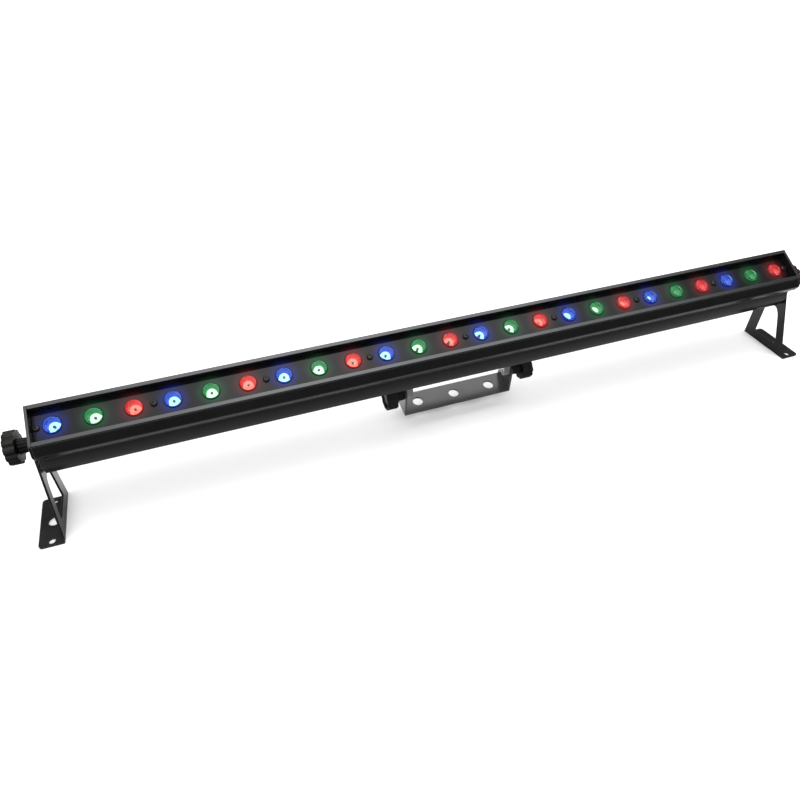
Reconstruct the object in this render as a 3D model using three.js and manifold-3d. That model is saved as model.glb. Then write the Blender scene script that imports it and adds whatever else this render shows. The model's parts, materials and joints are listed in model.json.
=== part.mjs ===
// LED strip batten for stage lighting: a black aluminium channel about a metre long with
// 24 coloured emitters in its face. Two folded steel feet clamp to its ends with lobed
// knobs, and a small yoke below the middle lets it hang from a hook clamp.
//
// Millimetres, +X along the bar, +Z up. The face looks up and towards -Y. The origin is
// on the floor, under the centre of the object's bounding box.
import * as THREE from "three";
import { mergeVertices } from "three/addons/utils/BufferGeometryUtils.js";
import Module from "manifold-3d";

const wasm = await Module();
wasm.setup();

// ---- Driving dimensions ----
const GAP = 0.3; // between pieces that touch
const BAR_LENGTH = 988.8; // over both end caps
const CAP = 3; // end cap thickness
const CAP_BOSS_R = 9; // boss that the clamp stud screws into
const CAP_BOSS_REACH = 12;
const FACE_TILT = 29.2; // degrees that the section is turned back from face up
const PIVOT_HEIGHT = 97; // clamp axis of the feet above the floor
const PIVOT_DEPTH = 41.3; // clamp axis below the rim plane of the face
const FACE_OFFSET = 3.25; // section centre line above the clamp axis

const LED_COUNT = 24;
const LED_PITCH = 41;
const LED_COLOURS = [0x2850c8, 0x00963c, 0xe63c3c]; // blue, green, red in turn

const PANEL_DEPTH = 11; // lens panel below the rim plane
const PANEL_THICK = 3;
const PANEL_HALF = 22;
const BOARD_DEPTH = 18.3; // LED board below the rim plane
const BOARD_THICK = 3;
const BOARD_HALF = 19.5;
const LENS_R = 9.9;
const LENS_PROUD = 3; // lens front above the panel
const SCREW_HEAD_R = 4;
const SCREW_R = 1.6;

const REAR_DEPTH = 72; // rear face below the rim plane
const REAR_HALF = 25; // its half width
const WALL = 2.4;

const FOOT_GAP = 3.2; // end cap to foot, filled by a friction washer
const SHEET = 2.5; // steel sheet of the feet and the yoke
const FOOT_REACH = 27.2; // width of the foot flange
const KNOB_R = 19.2;
const KNOB_NEAR = 514.6; // knob grip, measured along X from the middle
const KNOB_FAR = 526.2;
const STUD_R = 3.9;

const YOKE_PIVOT = [-26.5, -45.2]; // from the clamp axis, across and out of the face
const YOKE_TURN = 8.6 - FACE_TILT; // degrees, base plate nearly level at rest
const YOKE_HALF = 76.5; // over the arms
const YOKE_DROP = 29.2; // pivot to the inside of the base plate
const YOKE_FRONT = -9.3; // base plate edges, across from the pivot
const YOKE_BACK = 25.2;
const YOKE_HOLE_R = 7; // clamp bolt holes
const YOKE_HOLE_PITCH = 52;
const YOKE_LUG = 9; // lug block thickness
const YOKE_LUG_R = 4.9;
const YOKE_ARM_R = 7; // rounded top of the arms
const YOKE_KNOB_R = 15;
const YOKE_KNOB_NEAR = 88.4;
const YOKE_KNOB_FAR = 102.8;
const YOKE_STUD_R = 2.9;

const END = BAR_LENGTH / 2;
const CHANNEL_HALF = END - CAP - GAP;
const FOOT_IN = END + FOOT_GAP; // inner face of a foot's web
const BACK_V = PIVOT_DEPTH - REAR_DEPTH; // rear face, in section coordinates

const rad = THREE.MathUtils.degToRad;

// ---- Helpers ----
// A closed outline from [a, b] points, with an optional list of holes.
function outline(points, holes = []) {
  const shape = new THREE.Shape(points.map(([a, b]) => new THREE.Vector2(a, b)));
  shape.holes = holes.map((hole) =>
    Array.isArray(hole)
      ? new THREE.Path(hole.map(([a, b]) => new THREE.Vector2(a, b)))
      : hole,
  );
  return shape;
}

function rectangle([aLow, aHigh], [bLow, bHigh]) {
  return [
    [aLow, bLow],
    [aHigh, bLow],
    [aHigh, bHigh],
    [aLow, bHigh],
  ];
}

function roundHole(a, b, radius) {
  const path = new THREE.Path();
  path.absarc(a, b, radius, 0, 2 * Math.PI, true);
  return path;
}

// An outline in the Y-Z plane, extruded along X from low to high.
function alongX(shape, low, high, curveSegments = 6) {
  const geometry = new THREE.ExtrudeGeometry(shape, {
    depth: high - low,
    bevelEnabled: false,
    curveSegments,
  });
  const turn = new THREE.Matrix4();
  turn.set(0, 0, 1, low, 1, 0, 0, 0, 0, 1, 0, 0, 0, 0, 0, 1);
  return geometry.applyMatrix4(turn);
}

// An outline in the X-Y plane, extruded along Z from low to high.
function alongZ(shape, low, high, curveSegments = 6) {
  const geometry = new THREE.ExtrudeGeometry(shape, {
    depth: high - low,
    bevelEnabled: false,
    curveSegments,
  });
  return geometry.translate(0, 0, low);
}

// A turned piece about Z from [radius, z] points, listed from its top down.
function turned(points, segments) {
  const profile = points.map(([r, z]) => new THREE.Vector2(r, -z));
  return new THREE.LatheGeometry(profile, segments).rotateX(-Math.PI / 2);
}

// A turned piece about X, from [radius, x] points.
function turnedX(points, segments) {
  return turned(points, segments).rotateY(Math.PI / 2);
}

function box(x, y, z) {
  const size = [x, y, z].map(([low, high]) => high - low);
  const middle = [x, y, z].map(([low, high]) => (low + high) / 2);
  return new THREE.BoxGeometry(...size).translate(...middle);
}

function solid(geometry) {
  const plain = geometry.index ? geometry.toNonIndexed() : geometry.clone();
  plain.deleteAttribute("normal");
  plain.deleteAttribute("uv");
  const merged = mergeVertices(plain, 1e-4);
  return new wasm.Manifold(
    new wasm.Mesh({
      numProp: 3,
      vertProperties: merged.attributes.position.array,
      triVerts: new Uint32Array(merged.index.array),
    }),
  );
}

// The pieces in add joined into one, with the pieces in cut taken away.
function joined(add, cut = []) {
  let body = solid(add[0]);
  for (const piece of add.slice(1)) body = body.add(solid(piece));
  for (const piece of cut) body = body.subtract(solid(piece));
  const mesh = body.getMesh();
  const geometry = new THREE.BufferGeometry();
  geometry.setAttribute("position", new THREE.BufferAttribute(mesh.vertProperties, 3));
  geometry.setIndex(new THREE.BufferAttribute(mesh.triVerts, 1));
  geometry.computeVertexNormals();
  return geometry;
}

const FINISHES = {
  blackMetal: { color: 0x1c1d1f, roughness: 0.45, metalness: 0.6 },
  gloss: { color: 0x101214, roughness: 0.15, metalness: 0 },
  plastic: { color: 0x141414, roughness: 0.6, metalness: 0 },
  rubber: { color: 0x1a1a1a, roughness: 0.9, metalness: 0 },
  zinc: { color: 0xb8bcc0, roughness: 0.35, metalness: 1 },
  bare: { color: 0x9a9ca0, roughness: 0.4, metalness: 1 },
  board: { color: 0x1f3a28, roughness: 0.6, metalness: 0.1 },
  window: { color: 0x30080a, roughness: 0.1, metalness: 0 },
};

function mesh(name, geometry, finish) {
  const material = new THREE.MeshStandardMaterial(
    typeof finish === "string" ? FINISHES[finish] : finish,
  );
  const made = new THREE.Mesh(geometry, material);
  made.name = name;
  return made;
}

// The right-hand piece and its mirror image at the left.
function pair(name, geometry, finish) {
  const right = mesh(name + "_right", geometry, finish);
  const left = mesh(name + "_left", geometry, finish);
  left.scale.x = -1;
  return [left, right];
}

// ---- Section of the bar ----
// Points are [distance from the centre line, depth below the rim plane]. The lower side,
// which faces the audience, has a shoulder; the upper side runs straight out from the rim.
const LOWER_SIDE = [
  [23.15, 0],
  [32, 7.4],
  [32.9, 9.5],
  [32.8, 16.9],
  [29.4, 26.5],
  [30.2, 29],
  [35.6, 39],
  [37, 50.4],
  [27, 70],
  [REAR_HALF, REAR_DEPTH],
];
const UPPER_SIDE = [
  [23.15, 0],
  [25.2, 5.2],
  [30.6, 17.5],
  [35.6, 39],
  [37, 50.4],
  [27, 70],
  [REAR_HALF, REAR_DEPTH],
];
const INNER_SIDE = [
  [18.75, 0],
  [18.75, 10.7],
  [22.3, 10.7],
  [22.3, 14.3],
  [19.8, 14.3],
  [19.8, 21.6],
  [16, 21.6],
  [16, 23.8],
  [26.6, 23.8],
  [28.1, 30.1],
  [33.3, 40.1],
  [34.5, 50],
  [24.4, REAR_DEPTH - WALL],
];
const SIDE_CHAMBER = [
  [24.7, 4.6],
  [30.4, 9.4],
  [30.4, 16.8],
  [28.3, 21],
  [24.7, 21],
];

// A section point in Y-Z coordinates about the clamp axis; side -1 is the lower side.
function place([across, depth], side) {
  return [FACE_OFFSET + side * across, PIVOT_DEPTH - depth];
}

// One list placed along the lower side, then the other back along the upper side.
function around(lower, upper) {
  const low = lower.map((p) => place(p, -1));
  const high = upper.map((p) => place(p, 1));
  return [...low, ...high.reverse()];
}

// ---- Rear face layout, X positions ----
const CONTROL_X = [105, 235];
const CONTROL_HALF = 17;
const CONTROL_LAP = 7; // plate beyond the hole behind it, at each end
const DISPLAY_X = [114, 160];
const DISPLAY_HALF = 9;
const BUTTON_X = [174, 190, 206, 222];
const INLET_X = -150;
const INLET_HALF = 14; // hole for the inlet's body
const DATA_IN_X = -225;
const DATA_OUT_X = -285;
const SOCKET_R = 11.4;

// v of a point at a given depth below the rim plane
const atDepth = (depth) => PIVOT_DEPTH - depth;
// u range about the section's centre line
const across = (half) => [FACE_OFFSET - half, FACE_OFFSET + half];

function channel() {
  const section = outline(
    [...around(LOWER_SIDE, UPPER_SIDE), ...around(INNER_SIDE, INNER_SIDE).reverse()],
    [SIDE_CHAMBER.map((p) => place(p, -1))],
  );
  const through = [BACK_V - 1, BACK_V + WALL + 1];
  const cuts = [
    box([CONTROL_X[0] + CONTROL_LAP, CONTROL_X[1] - CONTROL_LAP], across(12), through),
    box([INLET_X - INLET_HALF, INLET_X + INLET_HALF], across(10.5), through),
  ];
  for (const x of [DATA_IN_X, DATA_OUT_X]) {
    const hole = SOCKET_R + GAP;
    cuts.push(box([x - hole, x + hole], across(hole), through));
  }
  const body = alongX(section, -CHANNEL_HALF, CHANNEL_HALF);
  return mesh("housing_channel", joined([body], cuts), "blackMetal");
}

function endCaps() {
  const plate = alongX(outline(around(LOWER_SIDE, UPPER_SIDE)), END - CAP, END);
  const boss = turnedX(
    [
      [0, END - CAP / 2],
      [CAP_BOSS_R, END - CAP / 2],
      [CAP_BOSS_R, END - CAP - CAP_BOSS_REACH],
      [0, END - CAP - CAP_BOSS_REACH],
    ],
    16,
  );
  const bore = turnedX(
    [
      [0, END + 1],
      [STUD_R + GAP, END + 1],
      [STUD_R + GAP, END - CAP - CAP_BOSS_REACH - 1],
      [0, END - CAP - CAP_BOSS_REACH - 1],
    ],
    16,
  );
  return pair("end_cap", joined([plate, boss], [bore]), "blackMetal");
}

// ---- Face ----
const ledX = (i) => (i - (LED_COUNT - 1) / 2) * LED_PITCH;
const SCREW_INSET = 6.8; // outermost screws in from the ends
const SCREW_X = [-END + SCREW_INSET];
for (let i = 3; i < LED_COUNT; i += 3) SCREW_X.push((ledX(i - 1) + ledX(i)) / 2);
SCREW_X.push(END - SCREW_INSET);

function strip(half, holes) {
  const length = CHANNEL_HALF - GAP;
  return outline(rectangle([-length, length], across(half)), holes);
}

function facePanel() {
  const holes = SCREW_X.map((x) => roundHole(x, FACE_OFFSET, SCREW_R + GAP));
  for (let i = 0; i < LED_COUNT; i++) {
    holes.push(roundHole(ledX(i), FACE_OFFSET, LENS_R + GAP));
  }
  const shape = strip(PANEL_HALF, holes);
  const top = atDepth(PANEL_DEPTH);
  return mesh("face_panel", alongZ(shape, top - PANEL_THICK, top, 8), "gloss");
}

function ledBoard() {
  const holes = SCREW_X.map((x) => roundHole(x, FACE_OFFSET, SCREW_R + GAP));
  const top = atDepth(BOARD_DEPTH);
  const geometry = alongZ(strip(BOARD_HALF, holes), top - BOARD_THICK, top, 4);
  return mesh("led_board", geometry, "bare");
}

function lens(i) {
  const front = atDepth(PANEL_DEPTH) + LENS_PROUD;
  const foot = atDepth(BOARD_DEPTH) + GAP;
  const profile = [
    [0, front],
    [LENS_R - 3, front - 0.2],
    [LENS_R - 0.6, front - 0.9],
    [LENS_R, front - 1.5],
    [LENS_R, front - 5],
    [5.5, foot],
    [0, foot],
  ];
  const made = mesh("lens_" + String(i + 1).padStart(2, "0"), turned(profile, 16), {
    color: LED_COLOURS[i % 3],
    roughness: 0.1,
    metalness: 0,
  });
  made.position.set(ledX(i), FACE_OFFSET, 0);
  return made;
}

function faceScrew(k) {
  const seat = atDepth(PANEL_DEPTH) + GAP;
  const profile = [
    [0, seat + 2.2],
    [2.2, seat + 1.9],
    [SCREW_HEAD_R, seat + 0.5],
    [SCREW_HEAD_R, seat],
    [SCREW_R, seat],
    [SCREW_R, atDepth(BOARD_DEPTH + 2)],
    [0, atDepth(BOARD_DEPTH + 2)],
  ];
  const made = mesh("face_screw_" + (k + 1), turned(profile, 10), "zinc");
  made.position.set(SCREW_X[k], FACE_OFFSET, 0);
  return made;
}

// ---- Inside ----
function powerSupply() {
  const low = BACK_V + WALL + GAP;
  const body = outline([
    [FACE_OFFSET - 18, low],
    [FACE_OFFSET + 18, low],
    [FACE_OFFSET + 18, low + 22],
    [FACE_OFFSET + 15, low + 26],
    [FACE_OFFSET - 15, low + 26],
    [FACE_OFFSET - 18, low + 22],
  ]);
  return mesh("power_supply", alongX(body, -100, 50), "bare");
}

const SWITCH_TOP = BACK_V + 7.2;

function driverBoard() {
  const back = BACK_V + 11.4;
  const card = box([90, 260], across(20), [back, back + 1.6]);
  const display = box(
    [DISPLAY_X[0] + 1, DISPLAY_X[1] - 1],
    across(8),
    [BACK_V + 0.6, back + 0.5],
  );
  const terminals = box([244, 256], across(15), [back + 1, back + 12]);
  const switches = BUTTON_X.map((x) =>
    box([x - 3, x + 3], across(3), [SWITCH_TOP, back + 0.5]),
  );
  const pieces = [card, display, terminals, ...switches];
  return mesh("driver_board", joined(pieces), "board");
}

// ---- Rear fittings ----
const BUTTON_R = 3.7;

function controlPanel() {
  const [low, high] = CONTROL_X;
  const window = rectangle(DISPLAY_X, across(DISPLAY_HALF));
  const shape = outline(rectangle([low, high], across(CONTROL_HALF)), [
    window,
    ...BUTTON_X.map((x) => roundHole(x, FACE_OFFSET, BUTTON_R + GAP)),
  ]);
  const top = BACK_V - GAP;
  return mesh("control_panel", alongZ(shape, top - 2, top), "plastic");
}

function displayWindow() {
  const top = BACK_V - GAP;
  const geometry = box(
    [DISPLAY_X[0] + GAP, DISPLAY_X[1] - GAP],
    across(DISPLAY_HALF - GAP),
    [top - 1.7, top - 0.2],
  );
  return mesh("display_window", geometry, "window");
}

function button(k) {
  const profile = [
    [0, SWITCH_TOP - 1.8],
    [2, SWITCH_TOP - 1.8],
    [2, BACK_V + 1.8],
    [BUTTON_R + 1, BACK_V + 1.8],
    [BUTTON_R + 1, BACK_V + 0.2],
    [BUTTON_R, BACK_V + 0.2],
    [BUTTON_R, BACK_V - 3.6],
    [BUTTON_R - 0.6, BACK_V - 4.2],
    [0, BACK_V - 4.2],
  ];
  const made = mesh("button_" + (k + 1), turned(profile, 12), "rubber");
  made.position.set(BUTTON_X[k], FACE_OFFSET, 0);
  return made;
}

function powerInlet() {
  const plate = BACK_V - GAP;
  const pieces = [
    box([-24, 24], [-13, 13], [plate - 2.5, plate]),
    box([-13.7, 13.7], [-10.2, 10.2], [plate - 1, BACK_V + 20]),
  ];
  const cavity = box([-12.2, 12.2], [-8.4, 8.4], [plate - 4, BACK_V + 14]);
  const made = mesh("power_inlet", joined(pieces, [cavity]), "plastic");
  made.position.set(INLET_X, FACE_OFFSET, 0);
  return made;
}

function dataSocket(name, x) {
  const plate = BACK_V - GAP;
  const flange = outline(rectangle([-13, 13], [-15.5, 15.5]));
  const barrel = [
    [0, BACK_V + 20],
    [SOCKET_R, BACK_V + 20],
    [SOCKET_R, plate - 1],
    [0, plate - 1],
  ];
  const cavity = [
    [0, BACK_V + 13],
    [9, BACK_V + 13],
    [9, plate - 4],
    [0, plate - 4],
  ];
  const pieces = [alongZ(flange, plate - 2, plate), turned(barrel, 20)];
  const made = mesh(name, joined(pieces, [turned(cavity, 20)]), "blackMetal");
  made.position.set(x, FACE_OFFSET, 0);
  return made;
}

// ---- Knobs and washers ----
// A lobed grip from near to far along X, on a neck that starts at neckIn, with a threaded
// stud that reaches in to tip.
function knobs(name, { radius, lobes, neckR, neckIn, near, far, studR, tip }) {
  const lobed = new THREE.Shape();
  const steps = lobes * 4;
  for (let i = 0; i < steps; i++) {
    const angle = (2 * Math.PI * i) / steps;
    const r = i % 4 < 3 ? radius : radius * 0.93;
    lobed[i ? "lineTo" : "moveTo"](r * Math.cos(angle), r * Math.sin(angle));
  }
  lobed.closePath();
  const neck = [
    [0, near + 1],
    [neckR, near + 1],
    [neckR * 0.85, neckIn],
    [0, neckIn],
  ];
  const stud = [
    [0, neckIn + 1],
    [studR, neckIn + 1],
    [studR, tip],
    [0, tip],
  ];
  const pieces = [alongX(lobed, near, far), turnedX(neck, 16), turnedX(stud, 12)];
  return pair(name, joined(pieces), "plastic");
}

function footKnobs() {
  return knobs("foot_knob", {
    radius: KNOB_R,
    lobes: 12,
    neckR: 9,
    neckIn: FOOT_IN + SHEET + GAP,
    near: KNOB_NEAR,
    far: KNOB_FAR,
    studR: STUD_R,
    tip: END - CAP - 8,
  });
}

function washers() {
  const low = END + GAP;
  const high = FOOT_IN - GAP;
  const ring = [
    [STUD_R + GAP, high],
    [11, high],
    [11, low],
    [STUD_R + GAP, low],
    [STUD_R + GAP, high],
  ];
  return pair("friction_washer", turnedX(ring, 20), "rubber");
}

// ---- Foot ----
// The web stands across the bar's end, and its flange turns outwards on the floor.
// Points are [across from the clamp axis, height above the floor].
const WEB_FRONT = -60; // at the floor
const WEB_BACK = 14;
const WEB_TOP = 114;
const WEB_TOP_ROUND = 16;
const WINDOW_LOW = 13;
const WINDOW_HIGH = 64;
const WINDOW_BACK = -1.5;
const WINDOW_FRONT = -40;
const FLANGE_FRONT = -64.4;
const FLANGE_BACK = 8.5;
const FLANGE_CORNER_R = 4;
const FLANGE_HOLES = [
  [12.6, 1.8, 2.6], // [out from the web, across, radius]
  [12.3, -28.5, 7],
  [13.3, -57.8, 3.8],
];

function footWeb() {
  const web = new THREE.Shape();
  web.moveTo(WEB_FRONT, 0);
  web.lineTo(WEB_BACK, 0);
  web.lineTo(WEB_BACK, WEB_TOP - WEB_TOP_ROUND);
  const middle = [WEB_BACK - WEB_TOP_ROUND, WEB_TOP - WEB_TOP_ROUND];
  web.absarc(...middle, WEB_TOP_ROUND, 0, Math.PI / 2, false);
  web.lineTo(-8, WEB_TOP);
  web.quadraticCurveTo(-16, WEB_TOP, -19.6, WEB_TOP - 10.5);
  web.closePath();
  web.holes = [footWindow(), roundHole(0, PIVOT_HEIGHT, STUD_R + GAP)];
  return web;
}

// The window leaves a slanted strut at the front, an upright one at the back and a strip
// along the floor.
function footWindow() {
  const backRound = 8;
  const window = new THREE.Path();
  window.moveTo(WINDOW_FRONT + 3, WINDOW_LOW);
  window.lineTo(WINDOW_BACK, WINDOW_LOW);
  window.lineTo(WINDOW_BACK, WINDOW_HIGH - backRound);
  const middle = [WINDOW_BACK - backRound, WINDOW_HIGH - backRound];
  window.absarc(...middle, backRound, 0, Math.PI / 2, false);
  window.lineTo(-18, WINDOW_HIGH);
  window.quadraticCurveTo(-23.5, 62.5, -27.8, 52.5);
  window.lineTo(WINDOW_FRONT, WINDOW_LOW + 8);
  window.quadraticCurveTo(WINDOW_FRONT - 1.5, WINDOW_LOW + 1, WINDOW_FRONT + 3, WINDOW_LOW);
  return window;
}

function footFlange() {
  const inner = FOOT_IN;
  const outer = FOOT_IN + FOOT_REACH;
  const round = FLANGE_CORNER_R;
  const shape = new THREE.Shape();
  shape.moveTo(inner, FLANGE_FRONT);
  shape.lineTo(outer - round, FLANGE_FRONT);
  shape.absarc(outer - round, FLANGE_FRONT + round, round, -Math.PI / 2, 0, false);
  shape.absarc(outer - round, FLANGE_BACK - round, round, 0, Math.PI / 2, false);
  shape.lineTo(inner, FLANGE_BACK);
  shape.closePath();
  shape.holes = FLANGE_HOLES.map(([x, y, r]) => roundHole(inner + x, y, r));
  return alongZ(shape, 0, SHEET);
}

function feet() {
  const web = alongX(footWeb(), FOOT_IN, FOOT_IN + SHEET);
  return pair("foot", joined([web, footFlange()]), "blackMetal");
}

// ---- Yoke ----
function yokeArm() {
  const base = -YOKE_DROP - SHEET;
  const shape = new THREE.Shape();
  shape.moveTo(YOKE_FRONT, base);
  shape.lineTo(YOKE_BACK, base);
  shape.lineTo(YOKE_BACK, base + 8);
  shape.absarc(0, 0, YOKE_ARM_R, 0.62, Math.PI + 0.12, false);
  shape.closePath();
  shape.holes = [roundHole(0, 0, YOKE_STUD_R + GAP)];
  return shape;
}

function yoke() {
  const middle = (YOKE_FRONT + YOKE_BACK) / 2;
  const boltX = [-YOKE_HOLE_PITCH, 0, YOKE_HOLE_PITCH];
  const plate = outline(
    rectangle([-YOKE_HALF, YOKE_HALF], [YOKE_FRONT, YOKE_BACK]),
    boltX.map((x) => roundHole(x, middle, YOKE_HOLE_R)),
  );
  const pieces = [alongZ(plate, -YOKE_DROP - SHEET, -YOKE_DROP, 8)];
  for (const low of [-YOKE_HALF, YOKE_HALF - SHEET]) {
    pieces.push(alongX(yokeArm(), low, low + SHEET));
  }
  return mesh("yoke", joined(pieces), "blackMetal");
}

function yokeLugs() {
  const high = YOKE_HALF - SHEET - GAP;
  const face = BACK_V - GAP - YOKE_PIVOT[1];
  const edge = FACE_OFFSET - REAR_HALF - YOKE_PIVOT[0];
  const shape = new THREE.Shape();
  shape.moveTo(edge + 22, face);
  shape.lineTo(edge + 1, face);
  shape.absarc(0, 0, YOKE_LUG_R, Math.PI * 0.88, Math.PI * 1.62, false);
  shape.lineTo(edge + 20, face - 6);
  shape.closePath();
  shape.holes = [roundHole(0, 0, YOKE_STUD_R + GAP)];
  return pair("yoke_lug", alongX(shape, high - YOKE_LUG, high), "zinc");
}

function yokeKnobs() {
  return knobs("yoke_knob", {
    radius: YOKE_KNOB_R,
    lobes: 10,
    neckR: 7,
    neckIn: YOKE_HALF + GAP,
    near: YOKE_KNOB_NEAR,
    far: YOKE_KNOB_FAR,
    studR: YOKE_STUD_R,
    tip: YOKE_HALF - SHEET - GAP - YOKE_LUG + 1,
  });
}

// ---- Assembly ----
// The bar, about the clamp axis and turned by the face tilt.
const bar = new THREE.Group();
bar.add(channel(), facePanel(), ledBoard(), powerSupply(), driverBoard());
bar.add(controlPanel(), displayWindow(), powerInlet());
bar.add(dataSocket("data_in", DATA_IN_X), dataSocket("data_out", DATA_OUT_X));
for (let i = 0; i < LED_COUNT; i++) bar.add(lens(i));
for (let k = 0; k < SCREW_X.length; k++) bar.add(faceScrew(k));
for (let k = 0; k < BUTTON_X.length; k++) bar.add(button(k));
bar.add(...endCaps());

const yokeFrame = new THREE.Group();
yokeFrame.position.set(0, ...YOKE_PIVOT);
const yokeSwing = new THREE.Group();
yokeSwing.rotation.x = rad(YOKE_TURN);
yokeSwing.add(yoke(), ...yokeKnobs());
yokeFrame.add(yokeSwing, ...yokeLugs());
bar.add(yokeFrame);

bar.position.z = PIVOT_HEIGHT;
bar.rotation.x = rad(FACE_TILT);

const clamps = new THREE.Group();
clamps.position.z = PIVOT_HEIGHT;
clamps.add(...footKnobs(), ...washers());

const batten = new THREE.Group();
batten.add(bar, clamps, ...feet());

// Centre the bounding box over the origin.
batten.updateMatrixWorld(true);
const bounds = new THREE.Box3().setFromObject(batten, true);
batten.position.y = -(bounds.min.y + bounds.max.y) / 2;

export default batten;
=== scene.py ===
"""A metre-long stage batten: a black aluminium channel with 24 coloured emitters, held by two
folded steel feet with lobed clamp knobs, and a small hanging yoke below its middle."""
import json
import math

import bpy
from mathutils import Matrix, Vector


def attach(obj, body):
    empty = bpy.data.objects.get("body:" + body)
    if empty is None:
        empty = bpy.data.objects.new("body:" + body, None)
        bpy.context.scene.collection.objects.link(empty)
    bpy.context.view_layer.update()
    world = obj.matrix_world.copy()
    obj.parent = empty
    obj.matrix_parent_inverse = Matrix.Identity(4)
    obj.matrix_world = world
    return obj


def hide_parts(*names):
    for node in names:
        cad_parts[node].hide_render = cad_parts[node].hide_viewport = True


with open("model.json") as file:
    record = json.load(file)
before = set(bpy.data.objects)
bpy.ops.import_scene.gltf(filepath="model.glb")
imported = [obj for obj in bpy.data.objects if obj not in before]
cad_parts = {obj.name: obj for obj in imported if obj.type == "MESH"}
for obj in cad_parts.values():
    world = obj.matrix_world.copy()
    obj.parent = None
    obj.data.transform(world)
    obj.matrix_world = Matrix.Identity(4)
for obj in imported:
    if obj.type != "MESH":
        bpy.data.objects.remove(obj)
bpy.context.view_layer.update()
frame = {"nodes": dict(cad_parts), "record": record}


# ---- Camera ----
# Standing in front of the left half of the bar, looking down along it to the right.
bpy.ops.object.select_all(action="DESELECT")
bpy.ops.object.camera_add(
    location=(-0.28801, -0.57733, 0.57545),
    rotation=[math.radians(angle) for angle in (49.0814, 0.6254, -19.0066)],
)
camera = bpy.context.object
camera.data.lens = 28.547
camera.data.shift_x = 0.009004
camera.data.shift_y = 0.001714
bpy.context.scene.camera = camera
bpy.context.scene.view_settings.view_transform = "Standard"


# ---- Studio ----
# A pale matte floor, an even soft white sky that is dim in reflections, and a wide softbox
# overhead that the face of the bar reflects, brightest left of its middle.
def node_material(name):
    made = bpy.data.materials.new(name)
    made.use_nodes = True
    return made, made.node_tree.nodes, made.node_tree.links, made.node_tree.nodes["Principled BSDF"]


bpy.ops.mesh.primitive_plane_add(size=24, location=(0, 0, 0))
floor = bpy.context.object
floor.name = "floor"
floor_paint, nodes, links, shader = node_material("floor_paint")
shader.inputs["Roughness"].default_value = 0.9
shader.inputs["Specular IOR Level"].default_value = 0.1
# Painted shade and light that only reflections see: the floor is bright behind the bar, half lit below it,
# and dark in front.
place = nodes.new("ShaderNodeTexCoord")
split = nodes.new("ShaderNodeSeparateXYZ")
painted_shade_ramp = nodes.new("ShaderNodeMapRange")
painted_shade_ramp.inputs["From Min"].default_value = -0.13
painted_shade_ramp.inputs["From Max"].default_value = -0.04
painted_shade_ramp.inputs["To Min"].default_value = 0.03
painted_shade_ramp.inputs["To Max"].default_value = 0.42
behind = nodes.new("ShaderNodeMapRange")
behind.inputs["From Min"].default_value = 0.0
behind.inputs["From Max"].default_value = 0.05
behind.inputs["To Max"].default_value = 0.5
painted_reflection_tone = nodes.new("ShaderNodeMath")
rays = nodes.new("ShaderNodeLightPath")
paint = nodes.new("ShaderNodeMix")
paint.data_type = "RGBA"
paint.inputs["A"].default_value = (0.93, 0.93, 0.93, 1)
links.new(place.outputs["Object"], split.inputs["Vector"])
links.new(split.outputs["Y"], painted_shade_ramp.inputs["Value"])
links.new(split.outputs["Y"], behind.inputs["Value"])
links.new(painted_shade_ramp.outputs["Result"], painted_reflection_tone.inputs[0])
links.new(behind.outputs["Result"], painted_reflection_tone.inputs[1])
links.new(rays.outputs["Is Glossy Ray"], paint.inputs["Factor"])
links.new(painted_reflection_tone.outputs["Value"], paint.inputs["B"])
links.new(paint.outputs["Result"], shader.inputs["Base Color"])
floor.data.materials.append(floor_paint)

sky = bpy.data.worlds.new("sky")
sky.use_nodes = True
bpy.context.scene.world = sky
rays = sky.node_tree.nodes.new("ShaderNodeLightPath")
tone = sky.node_tree.nodes.new("ShaderNodeMix")
tone.data_type = "RGBA"
tone.inputs["A"].default_value = (1.35, 1.35, 1.35, 1)
tone.inputs["B"].default_value = (0.08, 0.082, 0.088, 1)
sky.node_tree.links.new(rays.outputs["Is Glossy Ray"], tone.inputs["Factor"])
sky.node_tree.links.new(tone.outputs["Result"], sky.node_tree.nodes["Background"].inputs["Color"])
sky.node_tree.nodes["Background"].inputs["Strength"].default_value = 1.0

SOFTBOX_WIDTH = 1.9
SOFTBOX_HEIGHT = 1.5
SOFTBOX_BACK = 0.3  # its middle, behind the bar
# from x, to x, brightness as seen from below
SOFTBOX = [
    (-1.1, -0.68, 1.0),
    (-0.68, -0.35, 1.4),
    (-0.35, 0.3, 1.95),
    (0.3, 0.9, 1.65),
    (0.9, 1.4, 1.1),
    (1.4, 1.7, 0.6),
    (1.7, 2.1, 0.3),
]
for number, (left, right, brightness) in enumerate(SOFTBOX, 1):
    bpy.ops.object.light_add(type="AREA", location=((left + right) / 2, SOFTBOX_BACK, SOFTBOX_HEIGHT))
    lamp = bpy.context.object
    lamp.name = f"softbox_{number}"
    lamp.data.shape = "RECTANGLE"
    lamp.data.size = right - left
    lamp.data.size_y = SOFTBOX_WIDTH
    lamp.data.energy = brightness * math.pi * (right - left) * SOFTBOX_WIDTH


# ---- Housing channel ----
# The bar's body: one extruded aluminium section with side fins and a recess for the face,
# anodised satin black. The rims of the recess are worn smooth and catch the light.


# Selects one piece and nothing else.
def alone(piece):
    bpy.ops.object.select_all(action="DESELECT")
    piece.select_set(True)
    bpy.context.view_layer.objects.active = piece


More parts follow.
